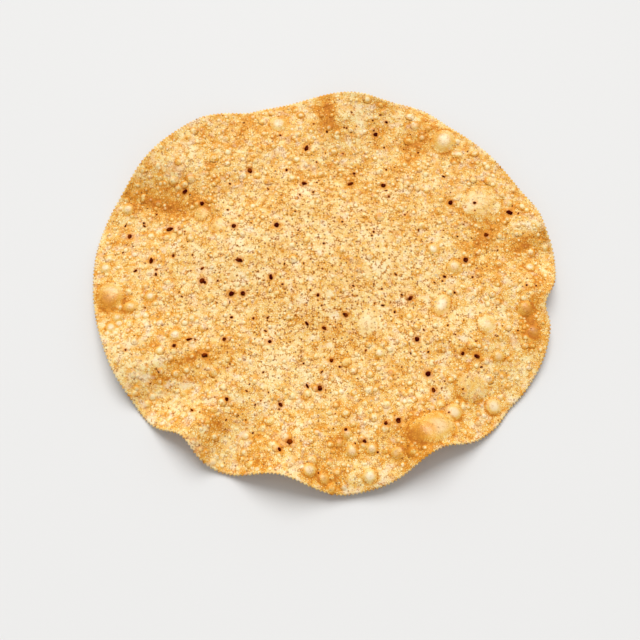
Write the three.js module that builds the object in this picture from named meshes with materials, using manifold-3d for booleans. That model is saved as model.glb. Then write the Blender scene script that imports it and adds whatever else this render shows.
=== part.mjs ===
// A papadum: one thin, crisp, fried disc. Its rim is cut in small teeth and waves up and down, its skin
// stands up in blisters, and cracked pepper grains are baked into its upper face.
// Millimetres, +Z up. The origin is on the ground, under the middle of the outline.

import * as THREE from 'three';
import { mergeVertices } from 'three/addons/utils/BufferGeometryUtils.js';
import Module from 'manifold-3d';

// Sheet
const RADIUS = 99.5; // from the middle to the left and right rim
const SHORT_SIDE_CUT = 6.5; // how much less it is to the front and the back
const THICKNESS = 1.2;
const TOOTH_COUNT = 360; // teeth of the cut rim, 1.7 apart
const TOOTH_DEPTH = 0.7;

// Where the rim is drawn in, or bulges out where the pull is negative. Angles are degrees from +X towards +Y,
// and each pull is spread over an angle to both sides.
const RIM_PULLS = [
  { at: 7, spread: 6, pull: -2.9 },
  { at: 19, spread: 5, pull: -1.7 },
  { at: 62, spread: 7.5, pull: -4.3 },
  { at: 113, spread: 4, pull: 1.2 },
  { at: 125, spread: 7, pull: -2.4 },
  { at: 139, spread: 15, pull: -2.5 },
  { at: 165, spread: 15, pull: -3.2 },
  { at: 200, spread: 8, pull: 1 },
  { at: 213, spread: 6, pull: 0.8 },
  { at: 231, spread: 5.8, pull: 4.6 },
  { at: 258, spread: 9.8, pull: 5.2 },
  { at: 274, spread: 5, pull: -0.7 },
  { at: 299, spread: 9.5, pull: 5.7 },
  { at: 304, spread: 4, pull: 0.9 },
  { at: 323, spread: 4, pull: 1.1 },
  { at: 338, spread: 6, pull: -0.6 },
  { at: 352.5, spread: 4, pull: 3.9 },
];

// Folds that run in from the rim, which they lift, or lower where the lift is negative. Each one is spread
// over an angle to both sides and starts at a share of the radius.
const RIM_FOLDS = [
  { at: 6, spread: 4, lift: -2.5, start: 0.7 },
  { at: 15, spread: 5, lift: 3, start: 0.7 },
  { at: 42, spread: 16, lift: 2, start: 0.55 },
  { at: 63, spread: 9, lift: -3.5, start: 0.6 },
  { at: 80, spread: 11, lift: 6, start: 0.5 },
  { at: 104, spread: 11, lift: -4.4, start: 0.7 },
  { at: 137, spread: 15, lift: 5, start: 0.45 },
  { at: 165, spread: 12, lift: -4.4, start: 0.5 },
  { at: 203, spread: 10, lift: 4, start: 0.5 },
  { at: 219, spread: 7, lift: -4.6, start: 0.6 },
  { at: 232, spread: 6, lift: 6.5, start: 0.62 },
  { at: 245, spread: 6, lift: -4.4, start: 0.65 },
  { at: 259, spread: 9, lift: 6.5, start: 0.62 },
  { at: 276, spread: 9, lift: -3.4, start: 0.65 },
  { at: 300, spread: 8, lift: 8, start: 0.6 },
  { at: 322, spread: 16, lift: -4.3, start: 0.55 },
  { at: 356, spread: 6, lift: 3, start: 0.6 },
];
const FOLD_POWER = 1.7; // how a fold's lift grows from its start out to the rim

// Creases: ridges, or valleys where the height is negative. Each has a middle, a direction in degrees, half
// its length, half its width and a height.
const CREASES = [
  { x: -70, y: 52, turn: -13, length: 18, width: 9, height: 1.6 },
  { x: -72, y: 34, turn: -13, length: 22, width: 11, height: -2.6 },
  { x: -42, y: 38, turn: -8, length: 14, width: 7, height: -1.4 },
  { x: -62, y: -37, turn: 17, length: 20, width: 7, height: 0.6 },
  { x: -62, y: -52, turn: 17, length: 20, width: 8, height: -1.1 },
  { x: -42, y: -74, turn: 65, length: 14, width: 6, height: -1.2 },
  { x: 63, y: -27, turn: -8, length: 18, width: 8, height: 1 },
  { x: -8, y: 36, turn: 0, length: 10, width: 6, height: 0.8 },
  { x: 4, y: 80, turn: 95, length: 12, width: 8, height: 1.2 },
  { x: 42, y: 80, turn: -25, length: 12, width: 9, height: 2 },
  { x: 45, y: 62, turn: -25, length: 12, width: 8, height: -1.2 },
  { x: 14, y: -88, turn: 10, length: 12, width: 6, height: 1.2 },
  { x: -69.5, y: -38.5, turn: 40, length: 9, width: 4, height: 0.8 },
];
const CREASE_ROUND = 0.15; // how round the bottom of a valley is, as a share of its half width

// Low flat-topped swells of the sheet inside the folds
const SWELLS = [
  { x: -6, y: 10, reach: 34, height: 2.4 },
  { x: -44, y: 22, reach: 24, height: 1.4 },
  { x: 36, y: 26, reach: 28, height: 0.8 },
  { x: -34, y: -42, reach: 22, height: 1 },
  { x: 38, y: -38, reach: 22, height: 0.9 },
  { x: 70, y: 37, reach: 14, height: 1.3 },
  { x: 60, y: -48.5, reach: 8.5, height: 0.8 },
];
const SWELL_POWER = 4; // the higher, the flatter the top and the steeper the side

// Largest blisters: oval domes. Each has a middle, a direction in degrees, half its length, half its width and
// a height.
const BLISTERS = [
  { x: -21.5, y: 79.5, turn: 0, length: 4.8, width: 4.8, height: 1.7 },
  { x: 55.5, y: 68.5, turn: 80, length: 7, width: 6, height: 2.2 },
  { x: -92, y: -9, turn: 90, length: 7.4, width: 6.6, height: 2.2 },
  { x: -83.5, y: -14, turn: 0, length: 3.4, width: 3, height: 1.1 },
  { x: -89, y: 35, turn: 0, length: 3.2, width: 3.2, height: 1.2 },
  { x: -55, y: 31, turn: 0, length: 3.6, width: 3.6, height: 0.7 },
  { x: -47, y: 25, turn: 0, length: 4, width: 4, height: 0.6 },
  { x: 18.5, y: -21.5, turn: 80, length: 7.4, width: 4.6, height: 0.8 },
  { x: 50.5, y: -13, turn: 65, length: 5.8, width: 3.8, height: 1.1 },
  { x: 69, y: -22, turn: 90, length: 4.9, width: 4.4, height: 0.9 },
  { x: 57, y: 5, turn: 0, length: 3.6, width: 3.6, height: 1.1 },
  { x: 70, y: -57, turn: 0, length: 3.9, width: 3.9, height: 1 },
  { x: 43.5, y: -67.3, turn: 15, length: 10.5, width: 6.8, height: 2.6 },
  { x: 86, y: -15, turn: 0, length: 3.6, width: 3.6, height: 1.4 },
  { x: 18, y: -86, turn: 0, length: 3.2, width: 3.2, height: 1.3 },
  { x: -6, y: -84, turn: 0, length: 3, width: 3, height: 1.3 },
];

// Largest pepper grains: the middle of each
const GRAINS = [
  [-63, 42], [-55, 36], [-69, 24], [-87, 21], [-40, 24], [-34, 53], [-8, 65], [-9, 46],
  [12, 46], [24, 72], [27, 45], [-21, 24], [57, 36], [72, 20], [83, 31], [-76, 8],
  [-53, -2], [-40, -8], [-35, -8], [-57, -29], [-63, -32], [-42, -29], [-50, -36], [-40, -55],
  [-37, 7], [-23, -1], [9, -18], [0, -24], [-23, -30], [3, -38], [-2, -50], [-18, -57],
  [62, 8], [37, -10], [39, -29], [43, -44], [45, -51], [58, -35], [64, -36], [16, -72],
  [-18, -76], [-14, -73], [25, -65], [30, -64],
];
const GRAIN_WIDTH = { least: 1.5, most: 2.3 };
const GRAIN_RISE = 0.5; // half its height, with its middle on the upper face
const GRAIN_SEED = 7;
const DRAW = { factor: 16807, range: 2147483647 }; // of the seeded draws, a multiplying generator

// Triangles
const RING_COUNT = 24; // rings of points inside the rim
const POINTS_PER_RING_STEP = 6; // ring k holds 6 k points, so its triangles stay even
const RIM_BAND = 2.2; // strip between the last ring and the teeth
const RIM_POINTS = 2 * TOOTH_COUNT; // a tip and a valley for each tooth

const CRISP_COLOUR = 0xecb867;
const CRISP_ROUGHNESS = 0.7;

// Weight of a pull or a fold at an angle: a bell curve round the rim.
function rimWeight({ at, spread }, angle) {
  const turn = THREE.MathUtils.euclideanModulo(THREE.MathUtils.radToDeg(angle) - at + 180, 360) - 180;
  return Math.exp(-((turn / spread) ** 2));
}

// Distance from the middle to the rim: an oval, drawn in by the pulls.
function rimRadius(angle) {
  const oval = RADIUS - SHORT_SIDE_CUT * Math.sin(angle) ** 2;
  return RIM_PULLS.reduce((radius, drawn) => radius - drawn.pull * rimWeight(drawn, angle), oval);
}

// Height of the folds: each one grows from its start towards the rim.
function foldHeight(share, angle) {
  return RIM_FOLDS.reduce((height, fold) => {
    const grown = Math.max(0, (share - fold.start) / (1 - fold.start)) ** FOLD_POWER;
    return height + fold.lift * rimWeight(fold, angle) * grown;
  }, 0);
}

// Height of the swells: each falls off with the distance from its middle.
function swellHeight(x, y) {
  return SWELLS.reduce((height, swell) => {
    const gap = Math.hypot(x - swell.x, y - swell.y) / swell.reach;
    return height + swell.height * Math.exp(-(gap ** SWELL_POWER));
  }, 0);
}

// Where a point lies along and across an oval or a crease, in its half length and half width.
function alongAndAcross(form, x, y) {
  const turn = THREE.MathUtils.degToRad(form.turn);
  const [dx, dy] = [x - form.x, y - form.y];
  const along = (dx * Math.cos(turn) + dy * Math.sin(turn)) / form.length;
  const across = (dy * Math.cos(turn) - dx * Math.sin(turn)) / form.width;
  return [along, across];
}

// Height of the creases: a bell curve along each one, and across it a bell curve for a ridge and a sharper
// curve for a valley.
function creaseHeight(x, y) {
  return CREASES.reduce((height, crease) => {
    const [along, off] = alongAndAcross(crease, x, y);
    const across = crease.height > 0 ? off ** 2 : Math.hypot(off, CREASE_ROUND) - CREASE_ROUND;
    return height + crease.height * Math.exp(-(along ** 2) - across);
  }, 0);
}

// Height of the blisters: domes, and the higher one where two meet.
function blisterHeight(x, y) {
  return BLISTERS.reduce((height, blister) => {
    const [along, across] = alongAndAcross(blister, x, y);
    return Math.max(height, blister.height * (1 - along ** 2 - across ** 2));
  }, 0);
}

// A point of the smooth sheet, given its share of the way to the rim and its angle.
function sheetPoint(share, angle, toothOffset = 0) {
  const radius = share * rimRadius(angle) + toothOffset;
  const x = radius * Math.cos(angle);
  const y = radius * Math.sin(angle);
  return new THREE.Vector3(x, y, foldHeight(share, angle) + swellHeight(x, y) + creaseHeight(x, y));
}

// The same point with the blisters on.
function blistered(point) {
  return point.clone().setZ(point.z + blisterHeight(point.x, point.y));
}

// Points of the sheet: the middle, the rings, and the rim with its teeth.
function sheetRings() {
  const rings = [[sheetPoint(0, 0)]];
  for (let k = 1; k <= RING_COUNT; k++) {
    const share = (k / RING_COUNT) * (1 - RIM_BAND / RADIUS);
    const count = POINTS_PER_RING_STEP * k;
    rings.push(Array.from({ length: count }, (_, j) => sheetPoint(share, (2 * Math.PI * j) / count)));
  }
  const half = TOOTH_DEPTH / 2;
  const rim = Array.from({ length: RIM_POINTS }, (_, j) =>
    sheetPoint(1, (2 * Math.PI * j) / RIM_POINTS, j % 2 ? -half : half));
  rings.push(rim);
  return rings;
}

// Triangles between two rings with different counts, anticlockwise from above. Each edge of one ring takes
// the point of the other ring that lies beside the edge's middle.
function stitch(inner, outer) {
  const triangles = [];
  for (let j = 0; j < inner.count && inner.count > 1; j++) {
    const apex = Math.ceil((outer.count * (j + 0.5)) / inner.count - 0.5) % outer.count;
    triangles.push([inner.start + j, outer.start + apex, inner.start + ((j + 1) % inner.count)]);
  }
  for (let j = 0; j < outer.count; j++) {
    const apex = (Math.floor((inner.count * (j + 0.5)) / outer.count - 0.5) + 1) % inner.count;
    triangles.push([inner.start + apex, outer.start + j, outer.start + ((j + 1) % outer.count)]);
  }
  return triangles;
}

// The closed sheet: the blistered upper face, the lower face without blisters, and the wall between their rims.
function sheetMesh() {
  const rings = sheetRings();
  const upper = rings.flat().map(blistered);
  const lower = rings.flat().map((point) => point.clone().setZ(point.z - THICKNESS));
  const starts = [];
  rings.reduce((start, ring) => {
    starts.push({ start, count: ring.length });
    return start + ring.length;
  }, 0);
  const face = starts.slice(1).flatMap((outer, k) => stitch(starts[k], outer));
  const below = upper.length;
  const underside = face.map(([a, b, c]) => [below + a, below + c, below + b]);
  const rim = starts.at(-1);
  const wall = Array.from({ length: rim.count }, (_, j) => {
    const here = rim.start + j;
    const next = rim.start + ((j + 1) % rim.count);
    return [[here, below + here, below + next], [here, below + next, next]];
  }).flat();
  return { points: [...upper, ...lower], triangles: [...face, ...underside, ...wall] };
}

// Seeded draws between 0 and 1, the same on every run.
function seededDraws(seed) {
  let state = seed;
  return () => {
    state = (state * DRAW.factor) % DRAW.range;
    return state / DRAW.range;
  };
}

// One grain: a flattened lump with 20 faces, turned by chance, its middle on the upper face.
function grainGeometry(x, y, draw) {
  const width = GRAIN_WIDTH.least + (GRAIN_WIDTH.most - GRAIN_WIDTH.least) * draw();
  const lump = new THREE.IcosahedronGeometry(1, 0);
  lump.deleteAttribute('normal');
  lump.deleteAttribute('uv');
  const merged = mergeVertices(lump);
  merged.rotateX(Math.PI * draw()).rotateZ(Math.PI * draw());
  merged.scale(width / 2, width / 2, GRAIN_RISE);
  const angle = Math.atan2(y, x);
  const share = Math.hypot(x, y) / rimRadius(angle);
  return merged.translate(x, y, blistered(sheetPoint(share, angle)).z);
}

const wasm = await Module();
wasm.setup();

function solid(vertProperties, triVerts) {
  return new wasm.Manifold(new wasm.Mesh({ numProp: 3, vertProperties, triVerts }));
}

// The sheet with its grains joined on, as one closed body.
function papadumGeometry() {
  const sheet = sheetMesh();
  const flatPoints = Float32Array.from(sheet.points.flatMap((point) => point.toArray()));
  let body = solid(flatPoints, Uint32Array.from(sheet.triangles.flat()));
  const draw = seededDraws(GRAIN_SEED);
  for (const [x, y] of GRAINS) {
    const grain = grainGeometry(x, y, draw);
    body = body.add(solid(grain.attributes.position.array, Uint32Array.from(grain.index.array)));
  }
  const joined = body.getMesh();
  const geometry = new THREE.BufferGeometry();
  geometry.setAttribute('position', new THREE.BufferAttribute(joined.vertProperties, 3));
  geometry.setIndex(new THREE.BufferAttribute(joined.triVerts, 1));
  return geometry;
}

// Moves the origin under the middle of the outline, on the ground.
function placeOnGround(geometry) {
  geometry.computeBoundingBox();
  const { min, max } = geometry.boundingBox;
  return geometry.translate(-(min.x + max.x) / 2, -(min.y + max.y) / 2, -min.z);
}

const papadum = new THREE.Mesh(
  placeOnGround(papadumGeometry()),
  new THREE.MeshStandardMaterial({ color: CRISP_COLOUR, roughness: CRISP_ROUGHNESS, metalness: 0 }),
);
papadum.name = 'papadum';

const group = new THREE.Group();
group.add(papadum);

export default group;
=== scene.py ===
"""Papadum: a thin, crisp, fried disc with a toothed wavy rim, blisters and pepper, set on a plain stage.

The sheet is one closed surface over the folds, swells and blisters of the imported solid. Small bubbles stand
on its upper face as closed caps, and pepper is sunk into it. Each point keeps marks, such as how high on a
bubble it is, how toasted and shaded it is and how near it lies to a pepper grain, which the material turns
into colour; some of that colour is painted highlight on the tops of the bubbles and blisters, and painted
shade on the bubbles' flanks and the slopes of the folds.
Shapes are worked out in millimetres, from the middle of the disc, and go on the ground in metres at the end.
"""

import math

import bpy
import numpy as np
from bpy.props import FloatProperty, FloatVectorProperty, IntProperty, PointerProperty
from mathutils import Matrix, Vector


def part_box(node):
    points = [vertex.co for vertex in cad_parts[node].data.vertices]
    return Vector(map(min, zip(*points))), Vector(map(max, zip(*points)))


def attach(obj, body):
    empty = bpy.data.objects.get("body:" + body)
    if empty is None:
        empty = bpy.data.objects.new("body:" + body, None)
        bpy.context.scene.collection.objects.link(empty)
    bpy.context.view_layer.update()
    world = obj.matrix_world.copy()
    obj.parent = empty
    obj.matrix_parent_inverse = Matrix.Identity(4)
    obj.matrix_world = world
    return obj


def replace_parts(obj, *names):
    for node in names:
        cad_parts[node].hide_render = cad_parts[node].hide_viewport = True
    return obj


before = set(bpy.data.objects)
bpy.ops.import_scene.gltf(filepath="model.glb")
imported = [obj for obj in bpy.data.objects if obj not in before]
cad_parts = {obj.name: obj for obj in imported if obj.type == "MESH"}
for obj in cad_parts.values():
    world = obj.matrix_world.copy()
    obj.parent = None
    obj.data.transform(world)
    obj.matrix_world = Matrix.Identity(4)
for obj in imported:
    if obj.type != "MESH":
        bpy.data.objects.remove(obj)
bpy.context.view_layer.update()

bl_info = {
    "name": "Papadum",
    "version": (1, 0, 0),
    "blender": (4, 5, 0),
    "location": "3D View > Sidebar > Papadum",
    "description": "Builds a fried papadum with blisters and pepper, and a stage to see it on",
    "category": "Object",
}

MM = 0.001
NODE = "papadum"
BODY = "root"
CRISP = "fried_crisp"

# Outline of the sheet, in millimetres
RADIUS = 99.5
SHORT_SIDE_CUT = 6.5
TOOTH_COUNT = 360
TOOTH_DEPTH = 0.7

# Where the rim is drawn in or bulges out: angle and spread in degrees, and the inward pull
RIM_PULLS = (
    (7, 6, -2.9), (19, 5, -1.7), (62, 7.5, -4.3), (113, 4, 1.2), (125, 7, -2.4),
    (139, 15, -2.5), (165, 15, -3.2), (200, 8, 1.0), (213, 6, 0.8), (231, 5.8, 4.6),
    (258, 9.8, 5.2), (274, 5, -0.7), (299, 9.5, 5.7), (304, 4, 0.9), (323, 4, 1.1),
    (338, 6, -0.6), (352.5, 4, 3.9),
)

# Folds in from the rim: angle and spread in degrees, lift, and the share of the radius where each starts
RIM_FOLDS = (
    (6, 4, -2.5, 0.7), (15, 5, 3, 0.7), (42, 16, 2, 0.55), (63, 9, -3.5, 0.6),
    (80, 11, 6, 0.5), (104, 11, -4.4, 0.7), (137, 15, 5, 0.45), (165, 12, -4.4, 0.5),
    (203, 10, 4, 0.5), (219, 7, -4.6, 0.6), (232, 6, 6.5, 0.62), (245, 6, -4.4, 0.65),
    (259, 9, 6.5, 0.62), (276, 9, -3.4, 0.65), (300, 8, 8, 0.6), (322, 16, -4.3, 0.55),
    (356, 6, 3, 0.6),
)
FOLD_POWER = 1.7

# Creases, ridges above nought and valleys below: middle, direction in degrees, half sizes and height
CREASES = (
    (-70, 52, -13, 18, 9, 1.6), (-72, 34, -13, 22, 11, -2.6), (-42, 38, -8, 14, 7, -1.4),
    (-62, -37, 17, 20, 7, 0.6), (-62, -52, 17, 20, 8, -1.1), (-42, -74, 65, 14, 6, -1.2),
    (63, -27, -8, 18, 8, 1.0), (-8, 36, 0, 10, 6, 0.8), (4, 80, 95, 12, 8, 1.2),
    (42, 80, -25, 12, 9, 2.0), (45, 62, -25, 12, 8, -1.2), (14, -88, 10, 12, 6, 1.2),
    (-69.5, -38.5, 40, 9, 4, 0.8),
)
CREASE_ROUND = 0.15

# Low flat-topped swells inside the folds: middle, reach and height
SWELLS = (
    (-6, 10, 34, 2.4), (-44, 22, 24, 1.4), (36, 26, 28, 0.8), (-34, -42, 22, 1.0),
    (38, -38, 22, 0.9), (70, 37, 14, 1.3), (60, -48.5, 8.5, 0.8),
)
SWELL_POWER = 4

# Largest blisters: middle, direction in degrees, half sizes and height
BLISTERS = (
    (-21.5, 79.5, 0, 4.8, 4.8, 1.7), (55.5, 68.5, 80, 7, 6, 2.2), (-92, -9, 90, 7.4, 6.6, 2.2),
    (-83.5, -14, 0, 3.4, 3, 1.1), (-89, 35, 0, 3.2, 3.2, 1.2), (-55, 31, 0, 3.6, 3.6, 0.7),
    (-47, 25, 0, 4, 4, 0.6), (18.5, -21.5, 80, 7.4, 4.6, 0.8), (50.5, -13, 65, 5.8, 3.8, 1.1),
    (69, -22, 90, 4.9, 4.4, 0.9), (57, 5, 0, 3.6, 3.6, 1.1), (70, -57, 0, 3.9, 3.9, 1.0),
    (43.5, -67.3, 15, 10.5, 6.8, 2.6), (86, -15, 0, 3.6, 3.6, 1.4), (18, -86, 0, 3.2, 3.2, 1.3),
    (-6, -84, 0, 3, 3, 1.3),
)
TAUT_STEEPNESS = 0.25
SEAM_WIDTH = 1.0

# Softness of a blister's foot, as a share of its height
SOFT_FOOT = 0.14

# Patches where the seam round a blister is strong, and where it is faint
SEAM_CELL = 7.0
SEAM_SEED = 4

# How far from round the blisters are: share of the squared width, cell of the noise and its seed
UNEVEN = 0.3
UNEVEN_CELL = 8.0
UNEVEN_SEED = 3

# Lesser round blisters that stand out from the bubbles near them: middle, half width and height
LESSER_BLISTERS = (
    (-88, -19, 2.4, 1.0), (-90, -24, 2.6, 1.1), (-96, 5, 2.8, 0.9), (-75, -9, 2.6, 0.9),
    (-63, -27, 3.0, 0.9), (49, 76, 2.0, 1.0), (46, 73, 1.5, 0.8), (-11, 84, 1.8, 0.8),
    (-15, 76, 1.5, 0.7), (23, -35, 2.8, 1.0), (73, -36, 2.8, 1.0), (48, 13, 2.8, 0.9),
    (53, -60, 4.0, 1.3), (61, -49, 7.2, 0.8), (70.5, 35.5, 9.0, 1.0), (90, 5, 2.4, 0.8),
    (89, -25, 2.8, 1.1), (0, -87, 2.6, 1.1), (9, -69, 2.4, 1.0), (11, -76, 3.0, 1.2),
    (29, -77, 3.0, 1.2), (19, -75, 2.6, 1.1), (6, -73, 2.2, 0.9),
)
ALL_BLISTERS = BLISTERS + tuple((x, y, 0, half, half, rise) for x, y, half, rise in LESSER_BLISTERS)

# Toasted bands, and pale ones below nought: middle, direction in degrees, half sizes and strength. The
# toasted bands are partly real browning and partly painted shade on slopes of the folds that face away from
# the light.
# The pale ones are partly pale crisp and partly painted light, on slopes that face the light and on slopes
# that the light leaves dark.
TOASTED_AND_SHADED_BANDS = (
    (-71, 37, -15, 17, 6, 1.05), (-70, 46, -20, 14, 5, 0.15), (-55, 38, -20, 8, 6, 0.5),
    (-50, 57, 85, 8, 4, 0.5), (2, 82, -75, 11, 5, 1.4), (8, 73, 0, 6, 6, 0.3),
    (42, 67, 50, 8, 6, 0.85), (37, 54, 60, 7, 5, 0.5), (27, 71, 0, 6, 5, 0.8),
    (71, 20, 0, 6, 6, 0.9), (63, 10, 50, 9, 4, 0.6), (90, 16.5, 28, 9, 3.5, 1.15),
    (80, 27, 45, 6, 2.5, 0.5), (63, 29.5, -50, 6, 2, 0.4), (88, -16, 80, 6, 4, 0.8),
    (89, -25, 80, 7, 4.5, 1.1), (61, -34, -14, 10, 3, 0.5), (-91, -13, -20, 7, 4, 1.1),
    (-58.5, -39.5, 35, 7, 3.5, 1.05), (-71, -47.5, 20, 7, 2, 0.3), (-72.5, -51.5, 25, 4, 1.8, 0.6),
    (-49, -36, -8, 9, 4, 0.6), (-45, -70, 65, 8, 2.5, 0.5), (35.5, -75, 70, 8, 4.5, 0.9),
    (39, -69, 40, 6, 5, 0.5), (26, -66, 30, 5, 4, 0.2), (55, -50.5, -60, 5, 1.5, 0.35),
    (5, -74, 60, 8, 4, 0.6), (3, -88, 80, 5, 3.5, 0.7), (-28, -82, 0, 6, 4, 0.5),
    (-20, -72, 0, 5, 4, 0.4), (-61, -67, 40, 5, 3, 0.4), (-17, -18, -22, 13, 3, 0.5),
    (9, -29, -38, 12, 3, 0.5), (11, 50, -40, 9, 5, 0.6), (-18, 40, 60, 7, 4, 0.4),
    (28, 48, 0, 6, 6, 0.4), (54, 34, 60, 7, 4, 0.5), (5, -36, -20, 9, 3, 0.7),
    (39, -16, 0, 4, 4, 0.5), (-37, 76, 80, 10, 5, 0.5), (72, 4, 0, 5, 5, 0.5),
    (33, -47, 0, 5, 5, 0.4), (-63, -13, 0, 7, 4, 0.4), (-29, 36, 0, 7, 4, 0.4),
    (8, -57, 0, 6, 4, 0.4), (18, 43, 0, 5, 4, 0.5), (1, 44, 0, 5, 4, 0.4),
    (34, 21, 0, 6, 4, 0.4), (48, 78, -30, 5, 4, 0.5), (24, -85, 0, 4, 4, 0.4),
    (-10, 49, 0, 5, 4, 0.5), (95, -2, 80, 5, 4, 0.5), (15, 81, 0, 7, 8, -0.9),
    (-64, 60, 10, 9, 5, -0.7), (-67.5, 51, 0, 4, 3.5, 0.3), (-42, 30, 0, 7, 7, -0.7),
    (-36, 14, 0, 6, 6, -0.6), (-60, 4, 0, 8, 8, -0.3), (-8, 41, 0, 6, 6, -0.6),
    (-19, -40, 50, 10, 7, -0.9), (18.5, -21, 80, 6, 4, -0.9), (50, -13, 60, 7, 6, -0.3),
    (70, 36, 60, 9, 8, -0.5), (68, -18, 0, 9, 7, -0.6), (95, 5, 0, 5, 5, -0.4),
    (-64, -55, 15, 9, 7, -0.9), (30, 10, 0, 8, 8, -0.4), (-90, -35, 70, 11, 8, -0.5),
    (-72, -39, 25, 9, 4, -0.9), (-84, -45, 60, 6, 4, -0.8), (-77, -54, 60, 5, 4, -0.4),
    (94, 23, 60, 5, 4, -0.4), (-52, -3, 0, 5, 4, -0.4), (54, 58, 0, 5, 4, -0.4),
    (-32, -52, 0, 5, 4, -0.4), (-61, 15, 0, 5, 4, -0.4), (-73, -1, 0, 5, 4, -0.4),
    (86, -36, 60, 5, 4, -0.5), (40, 80, -30, 8, 4, -0.5), (-39, -73, 60, 5, 4, -0.5),
    (-7, -77, 0, 5, 4, -0.4), (80, -48, 50, 5, 4, -0.4), (-86, 2, 0, 6, 5, -0.4),
    (-52, 6, 0, 6, 5, -0.4), (60, -42, 0, 5, 4, -0.3), (-91, 30, 60, 5, 4, -0.4),
    (72, -49, 50, 7, 5, -0.6), (64, -58, 30, 6, 4, -0.4), (11, -66, 0, 5, 4, -0.4),
    (-10, 16, 0, 5, 5, -0.6), (77, -8, 0, 7, 5, -0.6), (-40, -17, 90, 8, 5, -0.5),
    (18, -86, 20, 9, 5, -0.7),
)

# Largest pepper grains: the middle of each
GRAINS = (
    (-63, 42), (-55, 36), (-69, 24), (-87, 21), (-40, 24), (-34, 53), (-8, 65), (-9, 46),
    (12, 46), (24, 72), (27, 45), (-21, 24), (57, 36), (72, 20), (83, 31), (-76, 8),
    (-53, -2), (-40, -8), (-35, -8), (-57, -29), (-63, -32), (-42, -29), (-50, -36), (-40, -55),
    (-37, 7), (-23, -1), (9, -18), (0, -24), (-23, -30), (3, -38), (-2, -50), (-18, -57),
    (62, 8), (37, -10), (39, -29), (43, -44), (45, -51), (58, -35), (64, -36), (16, -72),
    (-18, -76), (-14, -73), (25, -65), (30, -64),
)

# Bubbles, coarse to fine: cell of the grid, share of the cells with a bubble, and the least and most radius
BUBBLE_SIZES = (
    (6.6, 0.9, 1.4, 2.6),
    (4.2, 0.75, 1.0, 1.6),
    (2.8, 0.35, 0.65, 0.95),
)
BUBBLE_RISE = 0.36
BUBBLE_POWER = 1.4
BUBBLE_ROOT = 0.08
BUBBLE_RINGS = (0.3, 0.55, 0.78, 1.0)
BUBBLE_COLUMNS = 8
SEAT_STEP = 0.8
FIELD = 112.0

# Share of the bubbles in the calmest regions, what the liveliest add to it, and the size of the regions
CALM = 0.25
LIVELY = 1.3
LIVELY_CELL = 19.0

# Share of the bubbles left in the middle of the disc and on pale crisp, the share of the radius that they
# keep to, and the cover of a blister that they stay below
MIDDLE_BUBBLES = 0.3
PALE_BUBBLES = 0.4
BUBBLE_REACH = 0.98
BLISTER_CLEARANCE = -0.1

# Uneven browning: cell and share of its noises, its strength, what the rim adds, and the range of all
BROWNING = ((17.0, 0.6), (6.0, 0.4))
BROWNING_STRENGTH = 0.3
RIM_BROWNING = 0.1
TOAST_AND_SHADE_RANGE = (-0.9, 1.2)

# Least and most width of a listed pepper grain, as shares of the set width
LISTED_SIZES = (0.8, 1.25)

# Lesser grains and specks: power that draws them to the middle, share of the radius that they keep to, least
# and most width as shares of the set width, and power that makes more of them small
LESSER = (0.5, 0.93, (0.42, 0.72), 1)
SPECKS = (0.62, 0.95, (0.55, 1.3), 2)

# How rough and how drawn out the pepper is
PEPPER_ROUGHNESS = 0.4
PEPPER_STRETCH = 0.8

# What is added to the seed for each kind of chance
SKIN_DRAWS = 10
BUBBLE_DRAWS = 10
TOAST_DRAWS = 20
GRAIN_DRAWS = 40
SPECK_DRAWS = 60
LUMP_DRAWS = 80
UNDERSIDE_DRAWS = 100

# Unevenness of the skin between the bubbles: size of its dents, and depth in the middle and near the rim
DENTS = (
    (9.0, 0.0, 0.9),
    (3.4, 0.30, 0.30),
    (1.8, 0.16, 0.16),
)

# Points of the two faces
UPPER_RINGS = 160
LOWER_RINGS = 64
RING_STEP = 6
RIM_POINTS = 2 * TOOTH_COUNT
RIM_BAND = 0.9
EDGE_BULGE = 0.12

# Depth of the fine relief, in metres
BUMP_DEPTH = 0.0002

# Half width of the stage's floor, its drop below the ground and the place of the light, in metres
FLOOR_HALF = 1.5
FLOOR_DROP = 0.0001
KEY_PLACE = (-0.1, 1.9, 2.6)


def smoothstep(low, high, value):
    """Nought below low, one above high, and 3 t t - 2 t t t between them."""
    t = np.clip((value - low) / (high - low), 0.0, 1.0)
    return t * t * (3.0 - 2.0 * t)


def between(limits, draw):
    """From the least to the most of the limits, as the draw goes from nought to one."""
    least, most = limits
    return least + (most - least) * draw


def fold_weight(angle, at, spread):
    """A bell curve round the rim: e to the power of minus the squared turn over the spread."""
    turn = (np.degrees(angle) - at + 180.0) % 360.0 - 180.0
    return np.exp(-((turn / spread) ** 2))


def rim_radius(angle):
    """Distance from the middle to the rim: an oval, less each pull times its weight."""
    radius = RADIUS - SHORT_SIDE_CUT * np.sin(angle) ** 2
    for at, spread, pull in RIM_PULLS:
        radius = radius - pull * fold_weight(angle, at, spread)
    return radius


def fold_height(share, angle):
    """Each fold's lift times its weight, growing as a power of the way from the fold's start to the rim."""
    height = np.zeros_like(share)
    for at, spread, lift, start in RIM_FOLDS:
        grown = np.clip((share - start) / (1.0 - start), 0.0, None) ** FOLD_POWER
        height += lift * fold_weight(angle, at, spread) * grown
    return height


def swell_height(x, y):
    """Sum of flat-topped swells: height times e to the power of minus the fourth power of the distance."""
    height = np.zeros_like(x)
    for middle_x, middle_y, reach, rise in SWELLS:
        gap = np.hypot(x - middle_x, y - middle_y) / reach
        height += rise * np.exp(-(gap ** SWELL_POWER))
    return height


def oval_distances(x, y, ovals):
    """For each oval: distances along and across it, in its half sizes, then its half width and its value."""
    for middle_x, middle_y, turn, length, width, value in ovals:
        off_x = x - middle_x
        off_y = y - middle_y
        cosine = math.cos(math.radians(turn))
        sine = math.sin(math.radians(turn))
        yield (off_x * cosine + off_y * sine) / length, (off_y * cosine - off_x * sine) / width, width, value


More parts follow.
